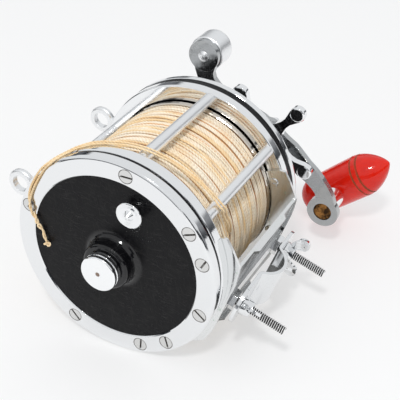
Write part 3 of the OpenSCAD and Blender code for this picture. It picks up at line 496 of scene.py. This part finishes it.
def carried_sides(path):
    """A side direction at each point of a path, carried along it without twist."""
    steps = np.gradient(path, axis=0)
    tangents = steps / np.linalg.norm(steps, axis=1)[:, None]
    side = np.cross(tangents[0], (0.31, 0.52, 0.79))
    sides = []
    for tangent in tangents:
        side = side - (side @ tangent) * tangent
        side = side / np.linalg.norm(side)
        sides.append(side)
    return tangents, np.array(sides)


def rope(paths, radius, sides=8, lay=3.6, lobe=0.16, phase=0.0):
    """A twisted line swept along one or more paths of evenly spaced points.

    The section has one lobe for each ply and turns once in each lay length. It returns the points, the
    faces and the UVs, and each line's ends are closed.
    """
    all_points, all_faces, all_uvs = [], [], []
    start = 0
    round_it = np.arange(sides) / sides
    section = radius * (1 - lobe * (1 - np.cos(math.tau * PLIES * round_it)) / 2)
    for path in paths:
        tangents, across = carried_sides(path)
        other = np.cross(tangents, across)
        along = np.concatenate([[0], np.cumsum(np.linalg.norm(np.diff(path, axis=0), axis=1))])
        angle = math.tau * (round_it[None, :] + along[:, None] / lay) + phase
        ring = (
            path[:, None, :]
            + section[None, :, None] * np.cos(angle)[:, :, None] * across[:, None, :]
            + section[None, :, None] * np.sin(angle)[:, :, None] * other[:, None, :]
        )
        count = len(path)
        all_points.append(ring.reshape(-1, 3))
        i, k = np.meshgrid(np.arange(count - 1), np.arange(sides), indexing="ij")
        i, k = i.ravel(), k.ravel()
        nxt = (k + 1) % sides
        near, far = start + i * sides, start + (i + 1) * sides
        quads = np.stack([near + k, far + k, far + nxt, near + nxt], 1)
        uv = np.stack(
            [
                np.stack([along[i] * MM, k / sides], 1),
                np.stack([along[i + 1] * MM, k / sides], 1),
                np.stack([along[i + 1] * MM, (k + 1) / sides], 1),
                np.stack([along[i] * MM, (k + 1) / sides], 1),
            ],
            1,
        )
        all_faces += quads.tolist()
        all_uvs.append(uv.reshape(-1, 2))
        last = start + (count - 1) * sides
        all_faces.append([start + k for k in reversed(range(sides))])
        all_faces.append([last + k for k in range(sides)])
        all_uvs.append(np.tile([[0.0, 0.0]], (2 * sides, 1)))
        start += count * sides
    return np.concatenate(all_points), all_faces, np.concatenate(all_uvs)


def turned(profile, steps):
    """A closed surface turned round the spool axis from a profile of (x, radius) points."""
    points, faces = [], []
    for x, r in profile:
        for k in range(steps):
            a = math.tau * k / steps
            points.append((x, r * math.cos(a), r * math.sin(a)))
    for j in range(len(profile) - 1):
        for k in range(steps):
            m = (k + 1) % steps
            faces.append([j * steps + k, j * steps + m, (j + 1) * steps + m, (j + 1) * steps + k])
    faces.append(list(range(steps))[::-1])
    faces.append([(len(profile) - 1) * steps + k for k in range(steps)])
    return np.array(points), faces


def between(a, b, c, d, t):
    """The point at share t of the smooth curve from b to c, with a before them and d after them."""
    return 0.5 * (2 * b + (c - a) * t + (2 * a - 5 * b + 4 * c - d) * t**2 + (3 * b - a - 3 * c + d) * t**3)


def smooth_path(points, spacing):
    """A smooth curve through the points, with evenly spaced points along it."""
    points = np.array(points, float)
    padded = np.vstack([2 * points[0] - points[1], points, 2 * points[-1] - points[-2]])
    fine = []
    for i in range(1, len(padded) - 2):
        for t in np.linspace(0, 1, 24, endpoint=False):
            fine.append(between(*padded[i - 1 : i + 3], t))
    fine.append(padded[-2])
    fine = np.array(fine)
    along = np.concatenate([[0], np.cumsum(np.linalg.norm(np.diff(fine, axis=0), axis=1))])
    even = np.linspace(0, along[-1], max(2, round(along[-1] / spacing)) + 1)
    return np.stack([np.interp(even, along, fine[:, i]) for i in range(3)], 1)


# ---------------------------------------------------------------- wound line

LINE_R = 0.55
winding_low, winding_high = (to_reel(corner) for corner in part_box("line_winding"))
WINDING_LEFT, WINDING_RIGHT = winding_low.x, winding_high.x
WINDING_R = (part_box("line_winding")[1].z - SPOOL_AXIS.z) / MM
WINDING_MARGIN = 0.7
# Lengths are in millimetres, and a depth is below the winding's outside. First, what lies in shade.
CORE_BELOW = 2.7
CORE_GAP = 0.02
CORE_SIDES = 96
UNDER_BELOW = 1.55
UNDER_TURNS = 54
UNDER_WANDER = 0.6
UNDER_RISE = 0.5
UNDER_SEGMENTS = 120
# The turns that are seen, in three runs side by side.
TOP_BELOW = LINE_R + 0.12
TURNS_IN_RUNS = (18.3, 18.0, 17.5)
RUN_START = 0.4
WANDER = 1.05
WANDER_TURNS = 0.42
RISE = 0.9
RISE_TURNS = 0.23
SEGMENTS = 420
# The turns that cross them on a slant.
SLANTS = 34
SLANT_FROM_END = 2
SLANT_REACH = (3, 13)
SLANT_TURNS = (0.35, 0.8)
SLANT_WANDER = 0.5
SLANT_WANDER_SPACING = 40
SLANT_DIP = 2.2
SLANT_DIP_SHARE = 0.08


def drift(rng, count, reach, spacing):
    """Smooth random wandering: one value for each of count points, with a new random one every spacing."""
    knots = np.array([rng.uniform(-reach, reach) for _ in range(count // spacing + 4)])
    at = np.arange(count) / spacing + 1
    i = at.astype(int)
    a, b, c, d = knots[i - 1], knots[i], knots[i + 1], knots[np.minimum(i + 2, len(knots) - 1)]
    return between(a, b, c, d, at - i)


def on_spool(x, r, angle):
    """Points at a place along the spool, a radius and an angle, kept between the flanges."""
    x = np.clip(x, WINDING_LEFT + LINE_R, WINDING_RIGHT - LINE_R)
    return np.stack([x, -r * np.cos(angle), r * np.sin(angle)], 1)


def wound(rng, turns, x0, x1, radius, wander, rise, segments, start=0.0):
    """The path of a line wound from x0 to x1, wandering sideways and up and down."""
    count = int(turns * segments) + 1
    at = np.arange(count) / segments
    x = x0 + (x1 - x0) * at / turns + drift(rng, count, wander, int(segments * WANDER_TURNS))
    r = radius - rise * (0.5 + 0.5 * drift(rng, count, 1.0, int(segments * RISE_TURNS)))
    return on_spool(x, r, math.tau * at + start)


def crossing(rng, x0, x1, start, share, radius):
    """A turn that crosses the others on a slant and dips under them at both ends."""
    count = int(share * SEGMENTS) + 1
    at = np.linspace(0, 1, count)
    eased = 0.85 * at + 0.15 * np.sin(math.pi * (at - 0.5)) / 2
    x = x0 + (x1 - x0) * eased + drift(rng, count, SLANT_WANDER, SLANT_WANDER_SPACING)
    dip = SLANT_DIP * np.clip(1 - np.minimum(at, 1 - at) / SLANT_DIP_SHARE, 0, 1) ** 2
    return on_spool(x, radius - dip, start + share * math.tau * at)


def winding_piece(name, paths, material, **section):
    """A piece of line that turns with the spool."""
    points, faces, uvs = rope(paths, LINE_R, **section)
    return mesh_object(name, points, faces, material, "spool", uvs)


def make_winding(beige, warm, shaded):
    """The wound line: a core, a layer in shade, three runs of turns over it and slanting turns on top."""
    rng = random.Random(7)
    left, right = WINDING_LEFT + WINDING_MARGIN, WINDING_RIGHT - WINDING_MARGIN
    core_r = WINDING_R - CORE_BELOW
    core = [(WINDING_LEFT + CORE_GAP, core_r), (WINDING_RIGHT - CORE_GAP, core_r)]
    points, faces = turned(core, CORE_SIDES)
    mesh_object("winding_core", points, faces, shaded, "spool", smooth=False)
    under_r = WINDING_R - UNDER_BELOW
    under = wound(rng, UNDER_TURNS, right, left, under_r, UNDER_WANDER, UNDER_RISE, UNDER_SEGMENTS)
    winding_piece("winding_under", [under], shaded, sides=6, lay=18.0, lobe=0.0)
    ends = np.linspace(left, right, len(TURNS_IN_RUNS) + 1)
    top_r = WINDING_R - TOP_BELOW
    for number, turns in enumerate(TURNS_IN_RUNS):
        x0, x1 = ends[number], ends[number + 1]
        run = wound(rng, turns, x0, x1, top_r, WANDER, RISE, SEGMENTS, RUN_START * number)
        winding_piece("winding_turns_%d" % (number + 1), [run], beige)
    slants = []
    for _ in range(SLANTS):
        from_x = rng.uniform(left + SLANT_FROM_END, right - SLANT_FROM_END)
        to_x = from_x + rng.choice((-1, 1)) * rng.uniform(*SLANT_REACH)
        to_x = min(max(to_x, left), right)
        start = rng.uniform(0, math.tau)
        share = rng.uniform(*SLANT_TURNS)
        slants.append(crossing(rng, from_x, to_x, start, share, WINDING_R - LINE_R))
    winding_piece("winding_slants", slants[::2], beige)
    winding_piece("winding_slants_warm", slants[1::2], warm)
    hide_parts("line_winding")


# ---------------------------------------------------------------- loose line

# The routes of the two loose strands, in reel coordinates.
STRAND_A = [
    (31, -37.5, 24.6), (27, -36.2, 31.8), (23, -33.6, 38.4), (21.6, -32.8, 41.7), (20.4, -30.4, 43.8),
    (19.8, -23.5, 47.9), (19.4, -15.5, 50.3), (18.6, -5.5, 51.9), (16.8, 2.4, 52.6),
    (15.4, 8.8, 52.5), (14, 15.8, 50.9), (12.8, 22.7, 48), (11.4, 30.3, 43.6),
    (8.4, 35.4, 39.6), (4.6, 38.6, 36.5), (1.2, 41.3, 33.2), (-0.8, 43.1, 29.6),
    (-1.1, 44.8, 25), (-1.1, 46.3, 17.6), (-1, 47.2, 11), (-1, 47.3, 5),
    (-1.9, 46, 1), (-0.9, 44.6, -1.6), (-0.8, 42.2, -3.2), (-1.5, 41, -5.6),
    (-0.6, 38.9, -6.6), (-0.1, 37, -9.4), (-1.1, 35.3, -11.2), (-0.9, 33.4, -13),
]
STRAND_B = [
    (32.8, -37.9, 24), (29.4, -37, 30.6), (25.6, -34.4, 37.4), (24, -33.2, 41.3), (22.6, -30.9, 43.6),
    (21.2, -24.5, 47.5), (20.6, -16.5, 50), (20, -7.5, 51.7), (18.8, 1.4, 52.6),
    (17.4, 8.6, 52.5), (16, 16.2, 50.8), (14.6, 23.6, 47.6), (13.2, 31.2, 43),
    (10.2, 36.5, 38.6), (6.6, 39.7, 35.3), (2.8, 42.7, 31.6), (-0.3, 44.8, 28),
    (-1.1, 46.4, 24), (-1.1, 47.9, 17.2), (-1, 48.7, 11), (-1, 48.2, 5),
    (-0.9, 46.6, 1.8), (-1.9, 44.4, -1), (-0.9, 43.4, -3.6), (-0.5, 40.8, -5),
    (-1.5, 39.3, -7.2), (-0.8, 36.9, -8.2), (-0.1, 35.4, -11.2), (-0.9, 33.4, -13),
]

KNOT_TURN = 0.55
KNOT_LOOP = 0.9
KNOT_WEAVE = 0.45
STRAND_SPACING = 0.35


def make_knot(beige):
    """An overhand knot, in place of the CAD node line_knot."""
    low, high = (to_reel(corner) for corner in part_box("line_knot"))
    middle = (low + high) / 2
    turn = np.linspace(0, math.tau, 60)
    wrap = np.stack(
        [
            middle.x + KNOT_TURN * np.sin(turn) + KNOT_LOOP * np.sin(2 * turn),
            middle.y + KNOT_TURN * np.cos(turn) - KNOT_LOOP * np.cos(2 * turn),
            middle.z - KNOT_WEAVE * np.sin(3 * turn),
        ],
        1,
    )
    points, faces, uvs = rope([wrap], LINE_R, sides=10, lay=3.2)
    knot = mesh_object("loose_knot", points, faces, beige, "frame", uvs)
    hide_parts("line_knot")
    return knot


def make_strands(beige):
    """The two strands that lie over the left ring, and the knot that they end in."""
    knot = make_knot(beige)
    for letter, route, phase in (("a", STRAND_A, 0.7), ("b", STRAND_B, 2.1)):
        path = smooth_path(route, STRAND_SPACING)
        points, faces, uvs = rope([path], LINE_R, sides=12, phase=phase)
        strand = mesh_object("loose_strand_" + letter, points, faces, beige, "frame", uvs)
        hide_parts("line_strand_" + letter)


# ---------------------------------------------------------------- threaded studs

THREAD_PITCH = 1.058
THREAD_DEPTH = 0.62
# The chamfer at a stud's tip.
TIP_LENGTH = 0.7
TIP_DEPTH = 0.75
# A face gets the painted shade of the thread's root from this share of the thread's depth.
ROOT_SHADE_FROM = 0.62
STUD_SIDES = 40
ROWS_PER_PITCH = 8


def thread_depth_at(share):
    """Depth of the thread below its crest, from 0 to 1, at a share of one pitch.

    A pitch has a flat crest, a flank, a root and a flank.
    """
    share = share % 1.0
    return float(np.clip((abs(share - 0.5) * -2 + 1) * 1.5 - 0.19, 0, 1))


def stud_points(centre_x, radius, near, tip, rows):
    """Rings of points from the root of a stud to its tip, with the thread and the tip's chamfer cut in."""
    points = []
    for j in range(rows + 1):
        out = near + (tip - near) * j / rows
        chamfer = min(1.0, (tip - out + 0.001) / TIP_LENGTH)
        for k in range(STUD_SIDES):
            turn = k / STUD_SIDES
            depth = THREAD_DEPTH * thread_depth_at((out - near) / THREAD_PITCH - turn)
            r = min(radius - depth, radius - TIP_DEPTH * (1 - chamfer))
            a = math.tau * turn
            points.append((centre_x + r * math.cos(a), -out, r * math.sin(a)))
    return np.array(points)


def make_studs(steel, dirt_and_painted_shade):
    """The two clamp studs, with their thread cut into the mesh and painted shade, a near-black material, in its
    roots.
    """
    cad = np.array([tuple(to_reel(v.co)) for v in nodes["clamp_studs"].data.vertices])
    middle = cad[:, 0].mean()
    all_points, all_faces, depths = [], [], []
    start = 0
    for group in (cad[cad[:, 0] < middle], cad[cad[:, 0] >= middle]):
        near, tip = -group[:, 1].max(), -group[:, 1].min()
        at_tip = group[-group[:, 1] > tip - 1, 0]
        radius = (at_tip.max() - at_tip.min()) / 2
        centre_x = (group[:, 0].min() + group[:, 0].max()) / 2
        rows = round((tip - near) / THREAD_PITCH * ROWS_PER_PITCH)
        all_points.append(stud_points(centre_x, radius, near, tip, rows))
        for j in range(rows):
            row, above = start + j * STUD_SIDES, start + (j + 1) * STUD_SIDES
            for k in range(STUD_SIDES):
                m = (k + 1) % STUD_SIDES
                all_faces.append([row + k, row + m, above + m, above + k])
                depths.append(thread_depth_at((j + 0.5) / ROWS_PER_PITCH - (k + 0.5) / STUD_SIDES))
        last = start + rows * STUD_SIDES
        all_faces.append([start + k for k in range(STUD_SIDES)][::-1])
        all_faces.append([last + k for k in range(STUD_SIDES)])
        depths += [0.0, 0.0]
        start = last + STUD_SIDES
    points = np.concatenate(all_points)
    studs = mesh_object("threaded_studs", points, all_faces, steel, "frame", smooth=False)
    studs.data.materials.append(dirt_and_painted_shade)
    # Faces deep in the thread get the near-black material as painted shade.
    for face, depth in zip(studs.data.polygons, depths):
        face.material_index = int(depth > ROOT_SHADE_FROM)
    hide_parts("clamp_studs")


# ---------------------------------------------------------------- materials of the CAD nodes


STAND_LIP = 1.8 * MM
SHARP_ANGLE = math.radians(28)


def finishes():
    """The materials: one for each slot of the record, and one for each node that needs its own."""
    bright = plated("chrome_bright", (0.88, 0.89, 0.90), 0.03, 0.09)
    cap = plated("chrome_cap", (0.95, 0.96, 0.97), 0.06, 0.14, marks=0.8, centre=True)
    cast = plated("chrome_cast", (0.82, 0.83, 0.84), 0.05, 0.12, marks=0.6, waves=3.2 * MM)
    satin = plated("chrome_satin", (0.88, 0.89, 0.90), 0.33, 0.37, marks=0.1)
    # The flanges' brownish tint is a painted reflection of the beige line beside them; the pits are corrosion.
    flange = plated("chrome_flange", (0.72, 0.66, 0.58), 0.10, 0.22, marks=0.8, pits=0.3)
    arm = plated("chrome_arm", (0.48, 0.49, 0.495), 0.09, 0.26, marks=1.2, pits=0.3, waves=0.25 * MM)
    weathered = plated("chrome_weathered", (0.80, 0.80, 0.80), 0.08, 0.20, marks=0.8, pits=0.5, green=0.8)
    stand_low, stand_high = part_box("reel_stand")
    # The stand's faces towards the rod get tarnish and a painted dark reflection.
    tarnish_and_dark_reflection = plated(
        "chrome_tarnished",
        (0.80, 0.81, 0.81),
        0.08,
        0.20,
        marks=0.8,
        pits=0.6,
        green=0.6,
        within=(stand_low.x + STAND_LIP, stand_high.x - STAND_LIP),
    )
    rings = ring_metal("ring_chrome", (0.85, 0.86, 0.87), 0.03, 0.08, False)
    heads = ring_metal("screw_chrome", (0.70, 0.70, 0.69), 0.06, 0.16, True)
    # The screw heads also get painted shade in their slots.
    worn = plated("chrome_worn", (0.82, 0.83, 0.84), 0.07, 0.18, marks=0.8, pits=0.4)
    thread = plated("chrome_thread", (0.96, 0.96, 0.96), 0.42, 0.50, edge=0.04 * MM, marks=0.3, pits=0.2)
    steel = oiled_metal("oiled_steel", (0.42, 0.42, 0.43), (0.22, 0.20, 0.18), 0.25)
    brass = oiled_metal("oiled_brass", (0.70, 0.50, 0.22), (0.42, 0.26, 0.10), 0.22)
    bronze = oiled_metal("brown_bronze", (0.42, 0.20, 0.06), (0.05, 0.027, 0.014), 0.42)
    by_slot = {
        "chrome": bright,
        "stud_steel": thread,
        "dark_steel": steel,
        "brass": brass,
        "bronze": bronze,
        "bakelite": moulded_black("black_moulding"),
        "leather": leather("drag_leather"),
        "grip_red": polished_red("red_plastic"),
        "line": twisted_line("line_beige"),
    }
    own = (
        (satin, ("pillars", "left_harness_lug", "right_harness_lug", "counterweight")),
        (flange, ("left_spool_flange", "right_spool_flange")),
        (arm, ("handle_arm",)),
        (worn, ("rod_clamp_strap", "saddle_bar", "stud_nuts")),
        (cast, ("left_wing_nut", "right_wing_nut")),
        (cap, ("left_bearing_cap", "right_bearing_cap")),
        (weathered, ("stand_screws",)),
        (tarnish_and_dark_reflection, ("reel_stand",)),
        (rings, ("left_outer_ring", "right_outer_ring")),
        (heads, ("left_ring_screws", "right_ring_screws")),
    )
    by_node = {node: look for look, names in own for node in names}
    return by_slot, by_node


def dress_nodes(by_slot, by_node):
    """Gives each CAD node its material, and clean shading on its flat and round faces."""
    slots = {s["node"]: s["material_slot"] for s in frame["record"]["subparts"]}
    for name, piece in nodes.items():
        piece.data.materials.clear()
        piece.data.materials.append(by_node.get(name) or by_slot[slots[name]])
        piece.data.polygons.foreach_set("use_smooth", [True] * len(piece.data.polygons))
        split = piece.modifiers.new("sharp_edges", "EDGE_SPLIT")
        split.split_angle = SHARP_ANGLE
        split.use_edge_sharp = False
        weighted = piece.modifiers.new("flat_faces", "WEIGHTED_NORMAL")
        weighted.keep_sharp = True


# ---------------------------------------------------------------- table and light

FLOOR_REACH = 4.0
WORLD_STRENGTH = 0.84
TENT_FROM = 0.38
TENT_WHOLE = 0.46
TENT_WHITE = (0.97, 0.985, 1.0)
ROOM_DARK = (0.03, 0.034, 0.04)
ROOM_GREY = (0.40, 0.41, 0.43)
LAMP_TOWARDS = (-0.56, -0.18, 0.80)
LAMP_AWAY = 1.4
LAMP_SIDE = 0.15
LAMP_WATTS = 7.6
LAMP_AIM = Vector((0, 0, 0.04))


def make_floor():
    """The white table top, which glows a little."""
    s = Shader("floor")
    s.set(
        base_color=(0.42, 0.42, 0.42),
        roughness=0.6,
        specular_ior_level=0.2,
        emission_color=(1.0, 1.0, 1.0),
        emission_strength=0.51,
    )
    corners = [(x * FLOOR_REACH, y * FLOOR_REACH, 0) for x, y in ((-1, -1), (1, -1), (1, 1), (-1, 1))]
    data = bpy.data.meshes.new("floor")
    data.from_pydata(corners, [], [(0, 1, 2, 3)])
    data.materials.append(s.material)
    floor = bpy.data.objects.new("floor", data)
    bpy.context.scene.collection.objects.link(floor)


def make_lamp():
    """A small square lamp, high on the left side and aimed at the reel."""
    data = bpy.data.lights.new("lamp", "AREA")
    data.shape = "RECTANGLE"
    data.size = LAMP_SIDE
    data.size_y = LAMP_SIDE
    data.energy = LAMP_WATTS
    light = bpy.data.objects.new("lamp", data)
    toward = Vector(LAMP_TOWARDS).normalized()
    light.location = toward * LAMP_AWAY + LAMP_AIM
    light.rotation_mode = "QUATERNION"
    light.rotation_quaternion = toward.to_track_quat("Z", "Y")
    bpy.context.scene.collection.objects.link(light)


def make_light():
    """A white tent with a darker room low down round it, and one small bright lamp."""
    world = bpy.data.worlds.new("studio")
    world.use_nodes = True
    s = Shader("studio", world)
    height = s.node("SeparateXYZ", {0: s.place}).outputs["Z"]
    uneven = s.noise(1.6, detail=2)
    edge = s.math("MULTIPLY_ADD", uneven, 0.30, height)
    tent = s.spread(edge, TENT_FROM, TENT_WHOLE)
    room = s.mix(s.spread(s.noise(2.3, detail=1), 0.46, 0.66), ROOM_DARK, ROOM_GREY)
    s.fill(s.background.inputs["Color"], s.mix(tent, room, TENT_WHITE))
    s.background.inputs["Strength"].default_value = WORLD_STRENGTH
    make_lamp()
    scene = bpy.context.scene
    scene.world = world
    scene.view_settings.view_transform = "Standard"
    scene.view_settings.look = "None"


# ---------------------------------------------------------------- the scene

make_camera()
by_slot, by_node = finishes()
dress_nodes(by_slot, by_node)
warm_line = twisted_line("line_warm", WARM_TONE)
make_strands(warm_line)
make_winding(by_slot["line"], warm_line, twisted_line("line_shaded", SHADED_TONE))
# A near-black material painted as shade in the studs' thread roots.
make_studs(by_slot["stud_steel"], oiled_metal("thread_dirt", (0.05, 0.048, 0.045), (0.02, 0.018, 0.016), 0.4))
make_floor()
make_light()
